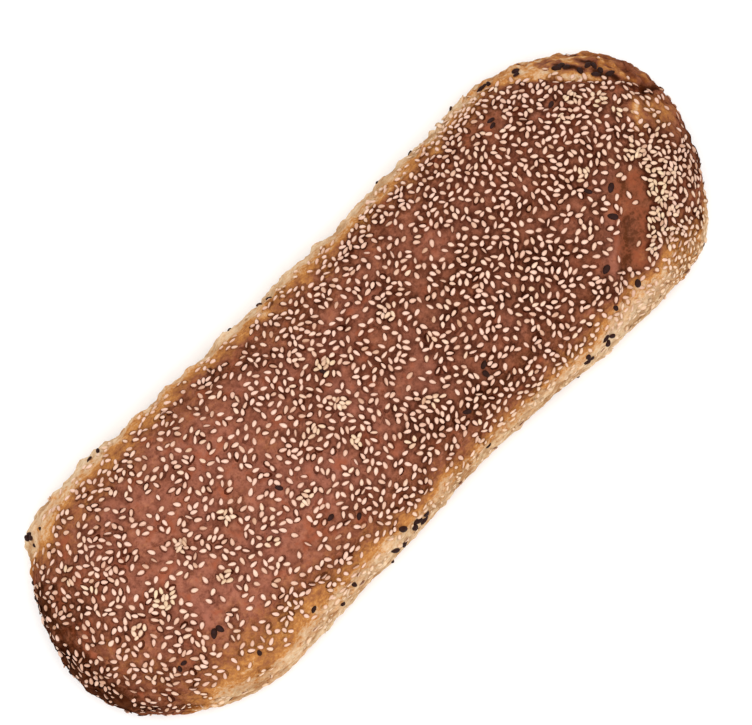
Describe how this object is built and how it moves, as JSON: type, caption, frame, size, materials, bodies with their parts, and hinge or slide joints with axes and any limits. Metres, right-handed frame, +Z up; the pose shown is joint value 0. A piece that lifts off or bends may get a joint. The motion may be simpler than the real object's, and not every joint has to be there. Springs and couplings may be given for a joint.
{
  "type": "bread loaf",
  "caption": "Long oval bread loaf with round ends, a broad low seeded crown, pale flared side walls and a flat sole to rest on.",
  "frame": {"origin": "middle of the sole, at the bottom centre of the bounding box", "axes": "+X along the loaf, +Y across it, +Z up through the crown"},
  "size_m": [0.337, 0.1194, 0.0612],
  "materials": {
    "crust": "baked crust: red-brown semi-matte crown, golden shoulders, pale floury side walls",
    "sesame_seed": "hulled sesame seed, satin, lightly toasted",
    "dark_grain": "dark seed grain, satin"
  },
  "bodies": {
    "root": {"loaf": "crust"}
  },
  "joints": []
}
